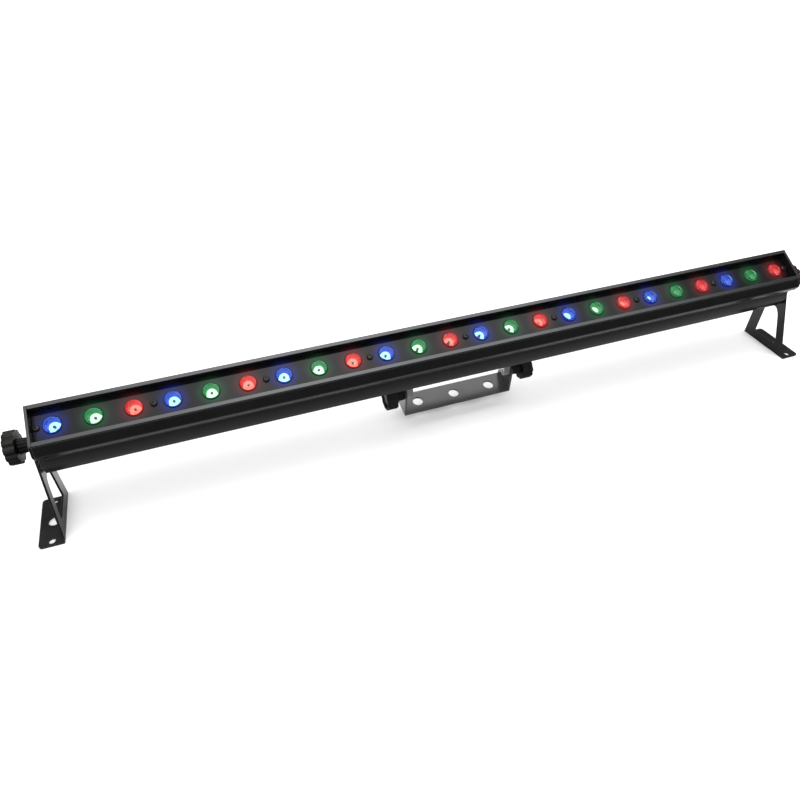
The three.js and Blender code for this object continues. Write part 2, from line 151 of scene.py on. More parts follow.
# The CAD node's shape as a new piece, with its loose triangles joined into whole faces.
def shaped_from(node, name):
    mesh = frame["nodes"][node].data.copy()
    mesh.materials.clear()
    piece = bpy.data.objects.new(name, mesh)
    bpy.context.collection.objects.link(piece)
    alone(piece)
    bpy.ops.object.mode_set(mode="EDIT")
    bpy.ops.mesh.select_all(action="SELECT")
    bpy.ops.mesh.remove_doubles(threshold=0.00001)
    bpy.ops.mesh.dissolve_limited(angle_limit=math.radians(0.5))
    bpy.ops.object.mode_set(mode="OBJECT")
    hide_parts(node)
    return piece


# Rounds the sharp edges; the strips it cuts take the second material, if there is one.
def ease_edges(piece, width, steps=2, sharpest=30):
    alone(piece)
    bevel = piece.modifiers.new("eased edges", "BEVEL")
    bevel.width = width
    bevel.segments = steps
    bevel.limit_method = "ANGLE"
    bevel.angle_limit = math.radians(sharpest)
    bevel.material = 1 if len(piece.data.materials) > 1 else -1
    bpy.ops.object.modifier_apply(modifier=bevel.name)
    smooth(piece)
    weighted = piece.modifiers.new("weighted normals", "WEIGHTED_NORMAL")
    weighted.keep_sharp = True
    bpy.ops.object.modifier_apply(modifier=weighted.name)


def smooth(piece, angle=35):
    alone(piece)
    bpy.ops.object.shade_smooth_by_angle(angle=math.radians(angle))


def finish_with(piece, *materials):
    for material in materials:
        piece.data.materials.append(material)


# A node group with named sockets. Inputs are (name, kind, value) and outputs (name, kind).
def effect(name, inputs, outputs):
    tree = bpy.data.node_groups.new(name, "ShaderNodeTree")
    for label, kind, value in inputs:
        socket = tree.interface.new_socket(name=label, in_out="INPUT", socket_type="NodeSocket" + kind)
        if value is not None:
            socket.default_value = value
    for label, kind in outputs:
        tree.interface.new_socket(name=label, in_out="OUTPUT", socket_type="NodeSocket" + kind)
    return tree, tree.nodes.new("NodeGroupInput"), tree.nodes.new("NodeGroupOutput")


def add_node(tree, kind, **settings):
    made = tree.nodes.new("ShaderNode" + kind)
    for key, value in settings.items():
        if key in made.inputs:
            made.inputs[key].default_value = value
        else:
            setattr(made, key, value)
    return made


# Moulded or sprayed grain: a fine height, and a slow mottling for colour and gloss.
grain, grain_in, grain_out = effect(
    "surface_grain",
    [("Vector", "Vector", None), ("Grain Scale", "Float", 3000.0), ("Mottle Scale", "Float", 30.0)],
    [("Height", "Float"), ("Mottle", "Float")],
)
fine = add_node(grain, "TexNoise", Detail=2.0, Roughness=0.6)
slow = add_node(grain, "TexNoise", Detail=4.0, Roughness=0.65)
for texture, scale, result, label in (
    (fine, "Grain Scale", "Fac", "Height"),
    (slow, "Mottle Scale", "Fac", "Mottle"),
):
    grain.links.new(grain_in.outputs["Vector"], texture.inputs["Vector"])
    grain.links.new(grain_in.outputs[scale], texture.inputs["Scale"])
    grain.links.new(texture.outputs[result], grain_out.inputs[label])

# Handling marks: sparse thin scratches, drawn out along X.
marks, marks_in, marks_out = effect(
    "handling_marks",
    [("Vector", "Vector", None), ("Scale", "Float", 60.0), ("Amount", "Float", 0.5)],
    [("Mask", "Float")],
)
drawn = add_node(marks, "Mapping")
drawn.inputs["Scale"].default_value = (0.12, 1.0, 1.0)
bent = add_node(marks, "TexNoise", Detail=3.0, Roughness=0.55, Distortion=0.6)
thin = add_node(marks, "MapRange")
thin.inputs["From Min"].default_value = 0.64
thin.inputs["From Max"].default_value = 0.72
scaled = add_node(marks, "Math", operation="MULTIPLY")
marks.links.new(marks_in.outputs["Vector"], drawn.inputs["Vector"])
marks.links.new(drawn.outputs["Vector"], bent.inputs["Vector"])
marks.links.new(marks_in.outputs["Scale"], bent.inputs["Scale"])
marks.links.new(bent.outputs["Fac"], thin.inputs["Value"])
marks.links.new(thin.outputs["Result"], scaled.inputs[0])
marks.links.new(marks_in.outputs["Amount"], scaled.inputs[1])
marks.links.new(scaled.outputs[0], marks_out.inputs["Mask"])

# Dust that settles on faces that look up.
dust, dust_in, dust_out = effect(
    "settled_dust",
    [("Vector", "Vector", None), ("Amount", "Float", 0.2)],
    [("Mask", "Float")],
)
facing = add_node(dust, "NewGeometry")
upward = add_node(dust, "SeparateXYZ")
patchy = add_node(dust, "TexNoise", Scale=45.0, Detail=5.0, Roughness=0.7)
lying = add_node(dust, "Math", operation="MULTIPLY", use_clamp=True)
amount = add_node(dust, "Math", operation="MULTIPLY", use_clamp=True)
dust.links.new(facing.outputs["Normal"], upward.inputs["Vector"])
dust.links.new(dust_in.outputs["Vector"], patchy.inputs["Vector"])
dust.links.new(upward.outputs["Z"], lying.inputs[0])
dust.links.new(patchy.outputs["Fac"], lying.inputs[1])
dust.links.new(lying.outputs[0], amount.inputs[0])
dust.links.new(dust_in.outputs["Amount"], amount.inputs[1])
dust.links.new(amount.outputs[0], dust_out.inputs["Mask"])


# A grained finish: two base colours that mottle, a range of roughness, marks and dust.
def surface(
    name, colours, gloss, metallic=0.0, specular=0.5, grain_scale=3000.0, bump=0.1, marked=0.3, dusty=0.1,
):
    made, nodes, links, shader = node_material(name)
    tree = made.node_tree
    place = add_node(tree, "TexCoord")
    cover = {}
    for label, group in (("grain", grain), ("marks", marks), ("dust", dust)):
        cover[label] = nodes.new("ShaderNodeGroup")
        cover[label].node_tree = group
        links.new(place.outputs["Object"], cover[label].inputs["Vector"])
    cover["grain"].inputs["Grain Scale"].default_value = grain_scale
    cover["marks"].inputs["Amount"].default_value = marked
    cover["dust"].inputs["Amount"].default_value = dusty
    mottled = add_node(tree, "Mix", data_type="RGBA")
    mottled.inputs["A"].default_value = (*colours[0], 1)
    mottled.inputs["B"].default_value = (*colours[1], 1)
    dusted = add_node(tree, "Mix", data_type="RGBA")
    dusted.inputs["B"].default_value = (0.32, 0.31, 0.29, 1)
    rough = add_node(tree, "MapRange")
    rough.inputs["From Min"].default_value = 0.3
    rough.inputs["From Max"].default_value = 0.7
    rough.inputs["To Min"].default_value = gloss[0]
    rough.inputs["To Max"].default_value = gloss[1]
    scuffed = add_node(tree, "Math", operation="MULTIPLY_ADD", use_clamp=True)
    scuffed.inputs[1].default_value = 0.25
    raised = add_node(tree, "Bump")
    raised.inputs["Strength"].default_value = bump
    raised.inputs["Distance"].default_value = 0.0002
    links.new(cover["grain"].outputs["Mottle"], mottled.inputs["Factor"])
    links.new(mottled.outputs["Result"], dusted.inputs["A"])
    links.new(cover["dust"].outputs["Mask"], dusted.inputs["Factor"])
    links.new(cover["grain"].outputs["Mottle"], rough.inputs["Value"])
    links.new(cover["marks"].outputs["Mask"], scuffed.inputs[0])
    links.new(rough.outputs["Result"], scuffed.inputs[2])
    links.new(cover["grain"].outputs["Height"], raised.inputs["Height"])
    links.new(dusted.outputs["Result"], shader.inputs["Base Color"])
    links.new(scuffed.outputs[0], shader.inputs["Roughness"])
    links.new(raised.outputs["Normal"], shader.inputs["Normal"])
    shader.inputs["Metallic"].default_value = metallic
    shader.inputs["Specular IOR Level"].default_value = specular
    return made


joints = {joint["name"]: joint for joint in frame["record"]["behaviour"]["joints"]}
CLAMP_AXIS = Vector(joints["foot_right_tilt"]["pos_m"])
CLAMP_AXIS.x = 0
FACE_TILT = math.radians(29.2)
# From the bar's own frame (along, across, out of the face, about the clamp axis) to the room.
BAR = Matrix.Translation(CLAMP_AXIS) @ Matrix.Rotation(FACE_TILT, 4, "X")


# The bar's own coordinates, in metres, for a pattern that follows the section.
def bar_place(tree):
    place = add_node(tree, "TexCoord")
    untilted = add_node(tree, "Mapping", vector_type="TEXTURE")
    untilted.inputs["Location"].default_value = CLAMP_AXIS
    untilted.inputs["Rotation"].default_value = (FACE_TILT, 0, 0)
    split = add_node(tree, "SeparateXYZ")
    tree.links.new(place.outputs["Object"], untilted.inputs["Vector"])
    tree.links.new(untilted.outputs["Vector"], split.inputs["Vector"])
    return split


RIM_V = 0.0413
COAT = [(0.0035, 0.0035, 0.004), (0.007, 0.007, 0.0075)]
housing_coat = surface("housing_coat", COAT, (0.18, 0.26), specular=0.34, bump=0.08, dusty=0.01)
tree = housing_coat.node_tree
shader = tree.nodes["Principled BSDF"]
bar = bar_place(tree)
rim = add_node(tree, "MapRange")
rim.inputs["From Min"].default_value = RIM_V - 0.0011
rim.inputs["From Max"].default_value = RIM_V - 0.0006
bare = add_node(tree, "Mix", data_type="RGBA")
bare.inputs["B"].default_value = (0.12, 0.122, 0.125, 1)
tree.links.new(bar.outputs["Z"], rim.inputs["Value"])
tree.links.new(rim.outputs["Result"], bare.inputs["Factor"])
tree.links.new(shader.inputs["Base Color"].links[0].from_socket, bare.inputs["A"])
tree.links.new(bare.outputs["Result"], shader.inputs["Base Color"])
tree.links.new(rim.outputs["Result"], shader.inputs["Metallic"])
housing_edge = surface(
    "housing_edge", [(0.012, 0.012, 0.013), (0.03, 0.03, 0.031)], (0.24, 0.34), specular=0.6, bump=0.05,
)

channel = shaped_from("housing_channel", "channel_shell")
finish_with(channel, housing_coat, housing_edge)
ease_edges(channel, 0.00045, steps=3)
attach(channel, "housing")


# ---- End caps ----
# Plates of cast aluminium in the same finish that close the channel's two ends, each held by
# four button-head socket screws into the section.


# Joins copies of one shape, each put in place by its matrix, into a single piece.
def placed(pattern, name, places):
    parts = []
    for place in places:
        mesh = pattern.data.copy()
        mesh.transform(place)
        if place.determinant() < 0:
            mesh.flip_normals()
        parts.append(bpy.data.objects.new(name, mesh))
        bpy.context.collection.objects.link(parts[-1])
    bpy.ops.object.select_all(action="DESELECT")
    for part in parts:
        part.select_set(True)
    bpy.context.view_layer.objects.active = parts[0]
    if len(parts) > 1:
        bpy.ops.object.join()
    parts[0].name = name
    return parts[0]


def discard(pattern):
    bpy.data.objects.remove(pattern, do_unlink=True)


# Selects faces, in edit mode, by a test of their middle and their normal.
def pick_faces(piece, test):
    bpy.ops.mesh.select_mode(type="FACE")
    bpy.ops.mesh.select_all(action="DESELECT")
    bpy.ops.object.mode_set(mode="OBJECT")
    for face in piece.data.polygons:
        face.select = test(face.center, face.normal)
    bpy.ops.object.mode_set(mode="EDIT")


# A button-head socket screw, standing on z = 0: a domed head with a hexagonal hole.
def socket_screw(head_radius, head_height, socket_radius, material):
    bpy.ops.object.select_all(action="DESELECT")
    bpy.ops.mesh.primitive_cylinder_add(
        vertices=24, radius=head_radius, depth=head_height * 0.25, location=(0, 0, head_height * 0.125),
    )
    screw = bpy.context.object
    bpy.ops.object.transform_apply(location=True, rotation=True, scale=True)
    bpy.ops.object.mode_set(mode="EDIT")
    pick_faces(screw, lambda middle, normal: normal.z > 0.9)
    for taper, rise in ((0.12, 0.3), (0.2, 0.25), (0.22, 0.15)):
        bpy.ops.mesh.extrude_region_move(TRANSFORM_OT_translate={"value": (0, 0, head_height * rise)})
        bpy.ops.transform.resize(value=(1 - taper, 1 - taper, 1))
    bpy.ops.mesh.inset(thickness=head_radius * 0.12)
    bpy.ops.object.mode_set(mode="OBJECT")
    top = max(screw.data.polygons, key=lambda face: (face.center.z, face.area))
    for index in top.vertices:
        point = screw.data.vertices[index].co
        turn = math.atan2(point.y, point.x)
        across = socket_radius * math.cos(math.pi / 6) / math.cos((turn % (math.pi / 3)) - math.pi / 6)
        point.x, point.y = across * math.cos(turn), across * math.sin(turn)
    bpy.ops.object.mode_set(mode="EDIT")
    bpy.ops.mesh.extrude_region_move(TRANSFORM_OT_translate={"value": (0, 0, -head_height * 0.65)})
    bpy.ops.object.mode_set(mode="OBJECT")
    smooth(screw, 40)
    finish_with(screw, material)
    return screw


screw_black = surface(
    "screw_black", [(0.004, 0.004, 0.004), (0.009, 0.009, 0.009)], (0.16, 0.26), specular=0.45, bump=0.05,
)
for side, body_end in (("left", -1), ("right", 1)):
    cap = shaped_from("end_cap_" + side, "end_plate_" + side)
    finish_with(cap, housing_coat, housing_edge)
    ease_edges(cap, 0.0004)
    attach(cap, "housing")

CAP_FACE = 0.4944
CAP_SCREWS = [(-0.0242, 0.0288), (0.0272, 0.0275), (-0.0292, -0.0085), (0.0357, -0.0085)]
cap_screw = socket_screw(0.0028, 0.0016, 0.0013, screw_black)
outwards = Matrix.Rotation(math.pi / 2, 4, "Y")
for side, sign in (("left", -1), ("right", 1)):
    facing_out = outwards if sign > 0 else Matrix.Rotation(-math.pi / 2, 4, "Y")
    places = [BAR @ Matrix.Translation((sign * CAP_FACE, u, v)) @ facing_out for u, v in CAP_SCREWS]
    cap_screws = placed(cap_screw, "end_screws_" + side, places)
    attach(cap_screws, "housing")
discard(cap_screw)


# ---- Face panel ----
# A strip of glossy black acrylic set 11 mm down in the recess, with a round hole for each
# emitter. It carries a painted glow: coloured emission haloes round the holes, for the emitters' spilled
# light.
PITCH = 0.041
LED_COUNT = 24
FACE_LINE = 0.00325  # the section's centre line, across from the clamp axis
PAINTED_HALO_INNER = 0.0092  # painted halo at full strength out to here
PAINTED_HALO_FADE = 0.0065
COLOURS = {  # painted halo, painted cup glow deep, painted cup glow bright, spot
    "blue": ((0.003, 0.01, 0.14), (0.002, 0.012, 0.3), (0.012, 0.1, 0.75), (0.6, 1.3, 1.6)),
    "green": ((0.0, 0.045, 0.011), (0.0, 0.1, 0.02), (0.002, 0.3, 0.06), (0.9, 1.6, 1.0)),
    "red": ((0.075, 0.003, 0.004), (0.45, 0.006, 0.01), (0.85, 0.03, 0.03), (1.6, 0.28, 0.18)),
}
panel_gloss = surface(
    "panel_gloss", [(0.002, 0.002, 0.0025), (0.004, 0.004, 0.005)], (0.05, 0.09),
    specular=0.36, bump=0.01, marked=0.1, dusty=0.008,
)
tree = panel_gloss.node_tree
shader = tree.nodes["Principled BSDF"]
bar = bar_place(tree)


def maths(tree, operation, first, second=None, third=None, clamp=False):
    made = add_node(tree, "Math", operation=operation, use_clamp=clamp)
    for number, value in enumerate((first, second, third)):
        if value is None:
            continue
        if isinstance(value, (int, float)):
            made.inputs[number].default_value = value
        else:
            tree.links.new(value, made.inputs[number])
    return made.outputs[0]


# The painted glow: emission round each hole, fading outward, in its emitter's colour, for the emitters'
# spilled light.
count = maths(tree, "MULTIPLY_ADD", bar.outputs["X"], 1 / PITCH, (LED_COUNT - 1) / 2)
nearest = maths(tree, "ROUND", count)
along = maths(tree, "MULTIPLY", maths(tree, "SUBTRACT", count, nearest), PITCH)
across = maths(tree, "SUBTRACT", bar.outputs["Y"], FACE_LINE)
squares = maths(tree, "ADD", maths(tree, "MULTIPLY", along, along), maths(tree, "MULTIPLY", across, across))
reach = maths(tree, "SUBTRACT", maths(tree, "SQRT", squares), PAINTED_HALO_INNER)
spread = maths(tree, "MULTIPLY", maths(tree, "MAXIMUM", reach, 0.0), 1 / PAINTED_HALO_FADE)
falling = maths(tree, "MULTIPLY", maths(tree, "MULTIPLY", spread, spread), -1.0)
glow = maths(tree, "EXPONENT", falling)
third = maths(tree, "MODULO", nearest, 3)
painted_halo = add_node(tree, "Mix", data_type="RGBA")
painted_halo.inputs["A"].default_value = (*COLOURS["blue"][0], 1)
painted_halo.inputs["B"].default_value = (*COLOURS["green"][0], 1)
painted_halo_red = add_node(tree, "Mix", data_type="RGBA")
painted_halo_red.inputs["B"].default_value = (*COLOURS["red"][0], 1)
tree.links.new(maths(tree, "GREATER_THAN", third, 0.5), painted_halo.inputs["Factor"])
tree.links.new(maths(tree, "GREATER_THAN", third, 1.5), painted_halo_red.inputs["Factor"])
tree.links.new(painted_halo.outputs["Result"], painted_halo_red.inputs["A"])
painted_spill = add_node(tree, "VectorMath", operation="SCALE")
tree.links.new(painted_halo_red.outputs["Result"], painted_spill.inputs[0])
tree.links.new(glow, painted_spill.inputs["Scale"])
tree.links.new(painted_spill.outputs["Vector"], shader.inputs["Emission Color"])
shader.inputs["Emission Strength"].default_value = 1.0

panel = shaped_from("face_panel", "face_strip")
finish_with(panel, panel_gloss)
ease_edges(panel, 0.0002, steps=2, sharpest=50)
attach(panel, "housing")


# ---- Face screws ----
# Nine black socket screws on the panel's centre line, at both ends and after every third
# emitter, which pin the strip down.
PANEL_TOP = 0.0303
SCREW_LIFT = 0.0001
END_SCREW_X = 0.4876
EVERY_THIRD = range(3, LED_COUNT, 3)
face_screw = socket_screw(0.004, 0.0024, 0.0017, screw_black)
screw_x = [-END_SCREW_X] + [(i - LED_COUNT / 2) * PITCH for i in EVERY_THIRD] + [END_SCREW_X]
for number, x in enumerate(screw_x, 1):
    seat = BAR @ Matrix.Translation((x, FACE_LINE, PANEL_TOP + SCREW_LIFT))
    head = placed(face_screw, f"panel_screw_{number}", [seat @ Matrix.Rotation(0.37 * number, 4, "Z")])
    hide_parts(f"face_screw_{number}")
    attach(head, "housing")
discard(face_screw)


# ---- Emitters ----
# Each emitter sits under a clear domed lens in a thin black collar. Below the lens a polished
# cup narrows to a bright chip, and the cup carries a painted glow in the emitter's colour, for the chip's
# light on it.


# A shape spun about Z from [radius, height] points.
def spun(name, profile, steps=32):
    mesh = bpy.data.meshes.new(name)
    rim = [(radius, 0, height) for radius, height in profile]
    mesh.from_pydata(rim, [(i, i + 1) for i in range(len(rim) - 1)], [])
    piece = bpy.data.objects.new(name, mesh)
    bpy.context.collection.objects.link(piece)
    alone(piece)
    bpy.ops.object.mode_set(mode="EDIT")
    bpy.ops.mesh.select_all(action="SELECT")
    bpy.ops.mesh.spin(steps=steps, angle=2 * math.pi, center=(0, 0, 0), axis=(0, 0, 1))
    bpy.ops.mesh.select_all(action="SELECT")
    bpy.ops.mesh.remove_doubles(threshold=0.000005)
    bpy.ops.mesh.normals_make_consistent(inside=False)
    bpy.ops.object.mode_set(mode="OBJECT")
    return piece


def mm(*pairs):
    return [(a / 1000, b / 1000) for a, b in pairs]


lens_clear, nodes, links, shader = node_material("lens_clear")
shader.inputs["Base Color"].default_value = (0.97, 0.98, 1.0, 1)
shader.inputs["Roughness"].default_value = 0.04
shader.inputs["IOR"].default_value = 1.45
shader.inputs["Transmission Weight"].default_value = 1.0

collar_black = surface(
    "collar_black", [(0.008, 0.008, 0.008), (0.014, 0.014, 0.014)], (0.3, 0.4), specular=0.4, dusty=0.0,
)
die_dark = surface("die_dark", [(0.05, 0.05, 0.045), (0.12, 0.11, 0.08)], (0.3, 0.5), dusty=0.0)


# An emitting finish that runs from a deep to a bright colour down the cup: a painted glow on the cup, and
# the bright chip's light on the spot.
def glowing(name, deep, bright, low, high):
    made, nodes, links, shader = node_material(name)
    tree = made.node_tree
    bar = bar_place(tree)
    depth = add_node(tree, "MapRange")
    depth.inputs["From Min"].default_value = high
    depth.inputs["From Max"].default_value = low
    place = add_node(tree, "TexCoord")
    ripple = add_node(tree, "TexNoise", Scale=420.0, Detail=2.0)
    uneven = maths(tree, "MULTIPLY_ADD", ripple.outputs["Fac"], 0.7, -0.3)
    level = maths(tree, "ADD", depth.outputs["Result"], uneven, clamp=True)
    colour = add_node(tree, "Mix", data_type="RGBA")
    colour.inputs["A"].default_value = (*deep, 1)
    colour.inputs["B"].default_value = (*bright, 1)
    links.new(place.outputs["Object"], ripple.inputs["Vector"])
    links.new(bar.outputs["Z"], depth.inputs["Value"])
    links.new(level, colour.inputs["Factor"])
    links.new(colour.outputs["Result"], shader.inputs["Emission Color"])
    shader.inputs["Base Color"].default_value = (0.02, 0.02, 0.02, 1)
    shader.inputs["Roughness"].default_value = 0.25
    shader.inputs["Emission Strength"].default_value = 1.0
    return made


LENS_FRONT = 33.3  # millimetres, as the profiles below
CUP_DEPTH = (0.0238, 0.0285)  # metres, where the painted glow is brightest and where it is deepest
SPOT_DEPTH = (0.0243, 0.026)
lens_shape = spun("lens_shape", mm(
    (0, LENS_FRONT), (3, 33.22), (6, 32.95), (8, 32.5), (8.8, 32.2),
    (8.85, 31.9), (8.85, 28.6), (8.6, 28.4), (0, 28.4),
))
collar = spun("collar", mm(
    (9.3, 28.0), (9.3, 30.5), (9.45, 30.62), (9.8, 30.62),
    (10.2, 30.45), (10.3, 30.32), (9.8, 30.2), (9.3, 28.0),
))
cup = spun("cup", mm(
    (9.25, 30.4), (9.25, 31.9), (9.0, 32.2), (8.9, 31.9),
    (8.9, 28.3), (8.6, 27.2), (7.4, 25.7), (6.0, 24.5), (4.5, 23.8),
))
spot = spun("spot", mm((4.5, 23.8), (3.6, 24.0), (2.2, 24.15), (0, 24.15)))
die = spun("die", mm((1.3, 24.1), (1.3, 24.5), (1.0, 24.7), (0, 24.7)), steps=12)
for part in (lens_shape, collar, cup, spot, die):
    smooth(part, 50)
finish_with(lens_shape, lens_clear)
finish_with(collar, collar_black)
finish_with(die, die_dark)
cups = {}
for colour, (painted_halo_tone, deep, bright, white) in COLOURS.items():
    # The cup's emission is a painted glow for the chip's light on it; the spot is the lit chip.
    painted_cup_glow = glowing("cup_" + colour, deep, bright, *CUP_DEPTH)
    spot_light = glowing("spot_" + colour, bright, white, *SPOT_DEPTH)
    lit_cup = placed(cup, "lit_cup", [Matrix.Identity(4)])
    lit_spot = placed(spot, "lit_spot", [Matrix.Identity(4)])
    finish_with(lit_cup, painted_cup_glow)
    finish_with(lit_spot, spot_light)
    plain = [placed(part, "part", [Matrix.Identity(4)]) for part in (collar, die)]
    bpy.ops.object.select_all(action="DESELECT")
    for part in (lit_cup, lit_spot, *plain):
        part.select_set(True)
    bpy.context.view_layer.objects.active = lit_cup
    bpy.ops.object.join()
    cups[colour] = lit_cup
for i in range(LED_COUNT):
    colour = ("blue", "green", "red")[i % 3]
    place = BAR @ Matrix.Translation(((i - (LED_COUNT - 1) / 2) * PITCH, FACE_LINE, 0))
    front = placed(lens_shape, f"lens_front_{i + 1:02d}", [place])
    under = placed(cups[colour], f"emitter_{i + 1:02d}", [place])
    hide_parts(f"lens_{i + 1:02d}")
    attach(front, "housing")
    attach(under, "housing")
for pattern in (lens_shape, collar, cup, spot, die, *cups.values()):
    discard(pattern)


# ---- Inside ----
# An LED board on an aluminium carrier behind the face, all given the carrier's bare metal finish, a boxed
# power supply in the middle of the channel, and the driver's circuit board behind the control panel.
def refinish(node, *materials):
    slots = frame["nodes"][node].data.materials
    slots.clear()
    for material in materials:
        slots.append(material)


board_carrier = surface(
    "board_carrier", [(0.42, 0.43, 0.44), (0.55, 0.56, 0.57)], (0.3, 0.45), metallic=1.0, grain_scale=900.0,
)
supply_case = surface(
    "supply_case", [(0.5, 0.5, 0.5), (0.6, 0.6, 0.6)], (0.28, 0.42), metallic=1.0, grain_scale=1200.0,
)
circuit_board = surface(
    "circuit_board", [(0.008, 0.06, 0.025), (0.012, 0.09, 0.035)], (0.25, 0.4), grain_scale=700.0, bump=0.3,
)
refinish("led_board", board_carrier)
refinish("power_supply", supply_case)
refinish("driver_board", circuit_board)


# ---- Control panel ----
# A moulded plate let into the rear face, with a smoked window over a four-figure display and
# four round rubber keys. Two small screws hold it.
REAR_V = -0.0307
rear_facing = Matrix.Rotation(math.pi, 4, "X")


def on_rear(x, across=0.0, rise=0.0, turn=0.0):
    place = Matrix.Translation((x, FACE_LINE + across, REAR_V - rise))
    return BAR @ place @ rear_facing @ Matrix.Rotation(turn, 4, "Z")


control_plastic = surface(
    "control_plastic", [(0.012, 0.012, 0.013), (0.02, 0.02, 0.021)], (0.42, 0.55),
    grain_scale=2200.0, bump=0.35,
)
control = shaped_from("control_panel", "control_plate")
finish_with(control, control_plastic)
ease_edges(control, 0.0005, steps=3, sharpest=50)
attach(control, "housing")

display_tint, nodes, links, shader = node_material("display_tint")
tree = display_tint.node_tree
place = add_node(tree, "TexCoord")
smear = add_node(tree, "TexNoise", Scale=60.0, Detail=4.0)
haze = add_node(tree, "MapRange")
haze.inputs["To Min"].default_value = 0.04
haze.inputs["To Max"].default_value = 0.16
links.new(place.outputs["Object"], smear.inputs["Vector"])
links.new(smear.outputs["Fac"], haze.inputs["Value"])
links.new(haze.outputs["Result"], shader.inputs["Roughness"])
shader.inputs["Base Color"].default_value = (0.012, 0.002, 0.002, 1)
window = shaped_from("display_window", "display_glass")
finish_with(window, display_tint)
ease_edges(window, 0.00025, sharpest=50)
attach(window, "housing")

# One figure of the display: seven slim bars, of which only the middle one is lit.
segment_dark = surface("segment_dark", [(0.03, 0.008, 0.008), (0.04, 0.01, 0.01)], (0.2, 0.3), dusty=0.0)
segment_lit, nodes, links, shader = node_material("segment_lit")
tree = segment_lit.node_tree
place = add_node(tree, "TexCoord")
flicker = add_node(tree, "TexNoise", Scale=900.0)
red_light = add_node(tree, "Mix", data_type="RGBA")
red_light.inputs["A"].default_value = (0.8, 0.02, 0.01, 1)
red_light.inputs["B"].default_value = (1.0, 0.06, 0.03, 1)
links.new(place.outputs["Object"], flicker.inputs["Vector"])
links.new(flicker.outputs["Fac"], red_light.inputs["Factor"])
links.new(red_light.outputs["Result"], shader.inputs["Emission Color"])
shader.inputs["Base Color"].default_value = (0.2, 0.01, 0.01, 1)
shader.inputs["Emission Strength"].default_value = 1.0


def segment(name, material):
    bpy.ops.object.select_all(action="DESELECT")
    bpy.ops.mesh.primitive_cube_add(size=1)
    bar_piece = bpy.context.object
    bar_piece.name = name
    bpy.ops.object.mode_set(mode="EDIT")
    bpy.ops.transform.resize(value=(0.0036, 0.0009, 0.00012))
    pick_faces(bar_piece, lambda middle, normal: abs(normal.x) > 0.9)
    bpy.ops.mesh.extrude_region_shrink_fatten(TRANSFORM_OT_shrink_fatten={"value": 0.0004})
    bpy.ops.transform.resize(value=(1, 0.15, 1))
    bpy.ops.object.mode_set(mode="OBJECT")
    finish_with(bar_piece, material)
    return bar_piece


FIRST_FIGURE_X = 0.1215
FIGURE_PITCH = 0.0104
FIGURE_X = [FIRST_FIGURE_X + FIGURE_PITCH * n for n in range(4)]
FIGURE_HALF = (0.0024, 0.0049)  # across and up
SEGMENTS = [(0, FIGURE_HALF[1], 0), (0, -FIGURE_HALF[1], 0)]
SEGMENTS += [
    (side * FIGURE_HALF[0], end * FIGURE_HALF[1] / 2, math.pi / 2) for side in (-1, 1) for end in (-1, 1)
]
bar_dark = segment("bar_dark", segment_dark)
bar_lit = segment("bar_lit", segment_lit)
WINDOW_RISE = 0.00012
dark_places = [
    on_rear(x + across, up, WINDOW_RISE, turn) for x in FIGURE_X for across, up, turn in SEGMENTS
]
unlit = placed(bar_dark, "display_unlit", dark_places)
lit = placed(bar_lit, "display_dashes", [on_rear(x, 0, WINDOW_RISE) for x in FIGURE_X])
for figures in (unlit, lit):
    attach(figures, "housing")
discard(bar_dark)
discard(bar_lit)

KEY_X = (0.174, 0.190, 0.206, 0.222)
black_rubber = surface(
    "black_rubber", [(0.016, 0.016, 0.016), (0.028, 0.028, 0.028)], (0.6, 0.75), specular=0.3, bump=0.3,
)
key = spun("key", mm(
    (0, -7.2), (2, -7.2), (2, -2), (4.6, -1.8), (4.6, -0.3), (3.7, -0.2), (3.7, 3.2),
    (3.55, 3.7), (3.2, 4.0), (2.6, 4.15), (1.8, 4.0), (0.8, 3.85), (0, 3.8),
), steps=28)
smooth(key, 40)
finish_with(key, black_rubber)
for number, x in enumerate(KEY_X, 1):
    cap = placed(key, f"rubber_key_{number}", [on_rear(x)])
    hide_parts(f"button_{number}")
    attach(cap, f"button_{number}")
discard(key)

small_screw = socket_screw(0.0021, 0.0012, 0.0009, screw_black)
PLATE_RISE = 0.0003
PLATE_SCREWS = ((0.1095, 0.4), (0.2305, 1.1))  # place along the bar, turn
panel_screws = placed(small_screw, "control_screws", [
    on_rear(x, 0, PLATE_RISE, turn) for x, turn in PLATE_SCREWS
])
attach(panel_screws, "housing")


# ---- Power inlet ----
# A flanged moulded inlet at the left of the rear face, with three flat pins in its well and a
# screw at each end of the flange.
socket_plastic = surface(
    "socket_plastic", [(0.01, 0.01, 0.011), (0.018, 0.018, 0.019)], (0.35, 0.5),
    grain_scale=2600.0, bump=0.3,
)
pin_plate = surface(
    "pin_plate", [(0.6, 0.61, 0.62), (0.72, 0.73, 0.74)], (0.16, 0.28), metallic=1.0, grain_scale=1800.0,
)
inlet = shaped_from("power_inlet", "inlet_body")
finish_with(inlet, socket_plastic)
ease_edges(inlet, 0.0005, steps=3, sharpest=50)
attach(inlet, "housing")

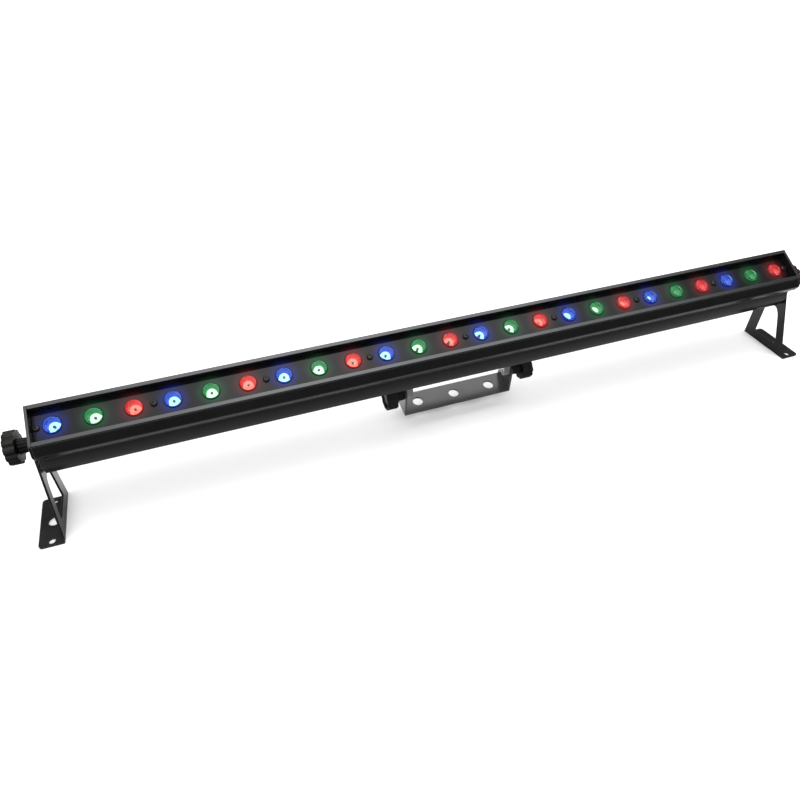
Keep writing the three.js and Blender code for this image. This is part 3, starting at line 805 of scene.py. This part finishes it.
INLET_X = -0.150
INLET_PINS = ((-0.007, 0.002), (0, -0.0025), (0.007, 0.002))  # along and across from its middle
INLET_SCREWS = ((-0.0195, 0.2), (0.0195, 0.9))  # along, turn
BLADE = (0.002, 0.004, 0.0145)
BLADE_SINK = 0.00675
bpy.ops.object.select_all(action="DESELECT")
bpy.ops.mesh.primitive_cube_add(size=1)
blade = bpy.context.object
blade.name = "blade"
bpy.ops.object.mode_set(mode="EDIT")
bpy.ops.transform.resize(value=BLADE)
bpy.ops.transform.translate(value=(0, 0, -BLADE_SINK))
pick_faces(blade, lambda middle, normal: normal.z > 0.9)
bpy.ops.mesh.extrude_region_move(TRANSFORM_OT_translate={"value": (0, 0, 0.0008)})
bpy.ops.transform.resize(value=(0.4, 0.75, 1))
bpy.ops.object.mode_set(mode="OBJECT")
finish_with(blade, pin_plate)
ease_edges(blade, 0.00015)
blades = placed(blade, "inlet_pins", [
    on_rear(INLET_X + along, across) for along, across in INLET_PINS
])
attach(blades, "housing")
discard(blade)
FLANGE_TOP = 0.0028
inlet_screws = placed(small_screw, "inlet_screws", [
    on_rear(INLET_X + along, 0, FLANGE_TOP, turn) for along, turn in INLET_SCREWS
])
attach(inlet_screws, "housing")


# ---- Data sockets ----
# Two flanged round sockets in black metal shells, beside the inlet: three pins stand in the
# incoming one, and the outgoing one has a moulded insert with three holes.
insert_plastic = surface(
    "insert_plastic", [(0.014, 0.014, 0.015), (0.022, 0.022, 0.023)], (0.4, 0.5),
    grain_scale=2600.0, bump=0.2,
)
shell_coat = surface(
    "shell_coat", [(0.012, 0.012, 0.013), (0.022, 0.022, 0.023)], (0.22, 0.34), metallic=0.0, specular=0.8,
)
PIN_RING = 0.0042
SOCKET_X = (("data_in", -0.225), ("data_out", -0.285))
SOCKET_CORNERS = ((-0.0098, 0.0122), (0.0098, -0.0122))
SOCKET_SCREW_DROP = 0.0005
pin_turns = [math.radians(angle) for angle in (90, 210, 330)]
round_pin = spun("round_pin", mm(
    (0, -12.9), (1.15, -12.9), (1.15, -2.2), (0.9, -1.5), (0.45, -1.2), (0, -1.1),
), steps=16)
smooth(round_pin, 40)
finish_with(round_pin, pin_plate)
insert = spun("insert", mm((0, -12.9), (7.4, -12.9), (7.4, -1.6), (7.0, -1.0), (0, -1.0)), steps=32)
smooth(insert, 40)
finish_with(insert, insert_plastic)
contact = spun("contact", mm(
    (1.7, -1.1), (1.7, -0.9), (1.2, -0.9), (1.1, -1.0), (1.1, -1.05), (1.7, -1.1),
), steps=16)
finish_with(contact, pin_plate)
well = spun("well", mm((0, -0.98), (1.15, -0.98), (1.15, -1.02), (0, -1.02)), steps=16)
finish_with(well, collar_black)
collar_ring = spun("collar_ring", mm(
    (9.05, -12.5), (9.05, 3.0), (9.3, 3.5), (9.9, 3.5),
    (10.4, 3.1), (10.6, 2.35), (10.6, 2.0), (9.05, -12.5),
), steps=40)
smooth(collar_ring, 40)
finish_with(collar_ring, shell_coat)
for name, x in SOCKET_X:
    shell = shaped_from(name, name + "_shell")
    finish_with(shell, shell_coat)
    ease_edges(shell, 0.0005, steps=3, sharpest=50)
    rim_ring = placed(collar_ring, name + "_rim", [on_rear(x)])
    fixings = placed(small_screw, name + "_screws", [
        on_rear(x + dx, dy, FLANGE_TOP - SOCKET_SCREW_DROP, dx * 90) for dx, dy in SOCKET_CORNERS
    ])
    contacts = []
    at_pin = [
        on_rear(x) @ Matrix.Translation((PIN_RING * math.cos(turn), PIN_RING * math.sin(turn), 0))
        for turn in pin_turns
    ]
    if name == "data_in":
        contacts.append(placed(round_pin, "data_in_pins", at_pin))
    else:
        contacts.append(placed(insert, "data_out_insert", [on_rear(x)]))
        contacts.append(placed(contact, "data_out_contacts", at_pin))
        contacts.append(placed(well, "data_out_wells", at_pin))
    for piece in (shell, rim_ring, fixings, *contacts):
        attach(piece, "housing")
for pattern in (round_pin, insert, contact, well, collar_ring, small_screw):
    discard(pattern)


# ---- Feet ----
# Each foot is one sheet of 2.5 mm steel, folded at the floor: a tall web with a slanted window
# across the bar's end, and a drilled flange. Painted satin black after folding.
BRACKET = [(0.005, 0.005, 0.0055), (0.01, 0.01, 0.0105)]
bracket_coat = surface(
    "bracket_coat", BRACKET, (0.12, 0.2), specular=0.36, grain_scale=2400.0, bump=0.06, dusty=0.05,
)
bracket_edge = surface(
    "bracket_edge", [(0.03, 0.03, 0.031), (0.07, 0.07, 0.072)], (0.26, 0.38), specular=0.8, bump=0.05,
)
for side in ("left", "right"):
    foot = shaped_from("foot_" + side, "folded_foot_" + side)
    finish_with(foot, bracket_coat, bracket_edge)
    ease_edges(foot, 0.0004, steps=2, sharpest=40)
    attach(foot, "foot_" + side)


# ---- Foot clamps ----
# A rubber washer grips between each end cap and foot. The lobed plastic knob outside pulls the
# foot in with the steel stud that is moulded into it.
LOBES = 12


# A knob about Z, pointing up: a neck, a lobed grip with eased edges, and a dished front with a
# raised middle. Sizes in metres; the neck starts at z = 0.
def lobed_knob(name, radius, lobes, neck_radius, near, far, material):
    bpy.ops.object.select_all(action="DESELECT")
    bpy.ops.mesh.primitive_cylinder_add(
        vertices=lobes * 10, radius=radius, depth=far - near, location=(0, 0, (near + far) / 2),
    )
    knob = bpy.context.object
    knob.name = name
    bpy.ops.object.transform_apply(location=True, rotation=True, scale=True)
    for vertex in knob.data.vertices:
        turn = math.atan2(vertex.co.y, vertex.co.x)
        groove = (0.5 - 0.5 * math.cos(turn * lobes)) ** 3
        share = 1 - 0.1 * groove
        vertex.co.x = radius * share * math.cos(turn)
        vertex.co.y = radius * share * math.sin(turn)
    bpy.ops.object.mode_set(mode="EDIT")
    thick = far - near
    front = ((0, 0.86), (-0.3, 0.96), (0, 0.62), (0.18, 0.9))
    back = ((0, 0.84), (0, neck_radius / radius / 0.84), (-near / thick, 0.86))
    for facing, steps in ((1, front), (-1, back)):
        pick_faces(knob, lambda middle, normal: normal.z * facing > 0.9)
        for rise, share in steps:
            bpy.ops.mesh.extrude_region_move(TRANSFORM_OT_translate={"value": (0, 0, rise * thick)})
            bpy.ops.transform.resize(value=(share, share, 1))
    bpy.ops.object.mode_set(mode="OBJECT")
    finish_with(knob, material)
    ease_edges(knob, 0.0006, steps=3, sharpest=45)
    return knob


knob_plastic = surface(
    "knob_plastic", [(0.002, 0.002, 0.002), (0.005, 0.005, 0.005)], (0.42, 0.56), specular=0.2,
    grain_scale=1800.0, bump=0.45, marked=0.2,
)
stud_steel = surface(
    "stud_steel", [(0.45, 0.45, 0.46), (0.56, 0.56, 0.57)], (0.25, 0.36), metallic=1.0, grain_scale=2000.0,
)


# A threaded stud about Z, from z = low up to z = high: a stack of sharp ridges.
def threaded_stud(name, radius, low, high, pitch, material):
    ridge = []
    turns = int((high - low) / pitch)
    for n in range(turns):
        ridge += [(radius * 0.86, low + n * pitch), (radius, low + (n + 0.5) * pitch)]
    tip = low - pitch * 0.4
    profile = [(0, tip), (radius * 0.7, tip), *ridge, (radius * 0.86, high), (0, high)]
    stud = spun(name, profile, steps=20)
    smooth(stud, 25)
    finish_with(stud, material)
    return stud


FOOT_OUT = 0.5001  # outer face of a foot's web
STUD_TIP = 0.4834
CLEARANCE = 0.0003
KNOB_SEAT = FOOT_OUT + CLEARANCE
KNOB_NEAR = 0.5146 - KNOB_SEAT  # the grip, out from the seat
KNOB_FAR = 0.5262 - KNOB_SEAT
STUD_ROOT = 0.0005  # how far a stud runs up into its knob
WASHER_SEAT = 0.4947
knob = lobed_knob("knob", 0.0192, LOBES, 0.009, KNOB_NEAR, KNOB_FAR, knob_plastic)
stud = threaded_stud("stud", 0.0038, STUD_TIP + CLEARANCE - KNOB_SEAT, STUD_ROOT, 0.00125, stud_steel)
washer = spun("washer", mm(
    (4.2, 0), (4.2, 2.6), (10.7, 2.6), (11, 2.3), (11, 0.3), (10.7, 0), (4.2, 0),
), steps=40)
smooth(washer, 40)
finish_with(washer, black_rubber)
mirror = Matrix.Scale(-1, 4, (1, 0, 0))
for side, hand in (("left", mirror), ("right", Matrix.Identity(4))):
    at_foot = hand @ Matrix.Translation((KNOB_SEAT, CLAMP_AXIS.y, CLAMP_AXIS.z)) @ outwards
    grip = placed(knob, "clamp_knob_" + side, [at_foot])
    screwed = placed(stud, "clamp_stud_" + side, [at_foot])
    at_washer = hand @ Matrix.Translation((WASHER_SEAT, CLAMP_AXIS.y, CLAMP_AXIS.z)) @ outwards
    pad = placed(washer, "rubber_washer_" + side, [at_washer])
    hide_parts("foot_knob_" + side)
    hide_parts("friction_washer_" + side)
    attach(grip, "foot_knob_" + side)
    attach(screwed, "foot_knob_" + side)
    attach(pad, "housing")
for pattern in (knob, stud, washer):
    discard(pattern)


# ---- Yoke ----
# A folded strap of the same sheet, with three holes for a clamp bolt and two ears. It swings on
# two cast zinc lugs under the bar, each locked by its own small knob.
yoke_coat = surface(
    "yoke_coat", [(0.02, 0.02, 0.0205), (0.032, 0.032, 0.0325)], (0.15, 0.24), specular=1.0,
    grain_scale=2400.0, bump=0.06, dusty=0.08,
)
strap = shaped_from("yoke", "folded_yoke")
finish_with(strap, yoke_coat, bracket_edge)
ease_edges(strap, 0.0004, steps=2, sharpest=40)
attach(strap, "yoke")

lug_zinc = surface(
    "lug_zinc", [(0.5, 0.51, 0.52), (0.66, 0.67, 0.68)], (0.3, 0.48),
    metallic=1.0, grain_scale=1500.0, bump=0.4,
)
for side in ("left", "right"):
    lug = shaped_from("yoke_lug_" + side, "cast_lug_" + side)
    finish_with(lug, lug_zinc)
    ease_edges(lug, 0.0006, steps=3, sharpest=40)
    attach(lug, "housing")

yoke_axis = Vector(joints["yoke_tilt"]["pos_m"])
YOKE_SEAT = 0.0768
YOKE_KNOB_NEAR = 0.0884 - YOKE_SEAT
YOKE_KNOB_FAR = 0.1028 - YOKE_SEAT
YOKE_STUD_TIP = 0.066 - YOKE_SEAT
YOKE_LOBES = 10
small_knob = lobed_knob(
    "small_knob", 0.015, YOKE_LOBES, 0.007, YOKE_KNOB_NEAR, YOKE_KNOB_FAR, knob_plastic,
)
small_stud = threaded_stud("small_stud", 0.0028, YOKE_STUD_TIP, STUD_ROOT, 0.001, stud_steel)
for side, hand in (("left", mirror), ("right", Matrix.Identity(4))):
    at_ear = hand @ Matrix.Translation((YOKE_SEAT, yoke_axis.y, yoke_axis.z)) @ outwards
    grip = placed(small_knob, "lock_knob_" + side, [at_ear])
    screwed = placed(small_stud, "lock_stud_" + side, [at_ear])
    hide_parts("yoke_knob_" + side)
    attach(grip, "yoke_knob_" + side)
    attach(screwed, "yoke_knob_" + side)
discard(small_knob)
discard(small_stud)
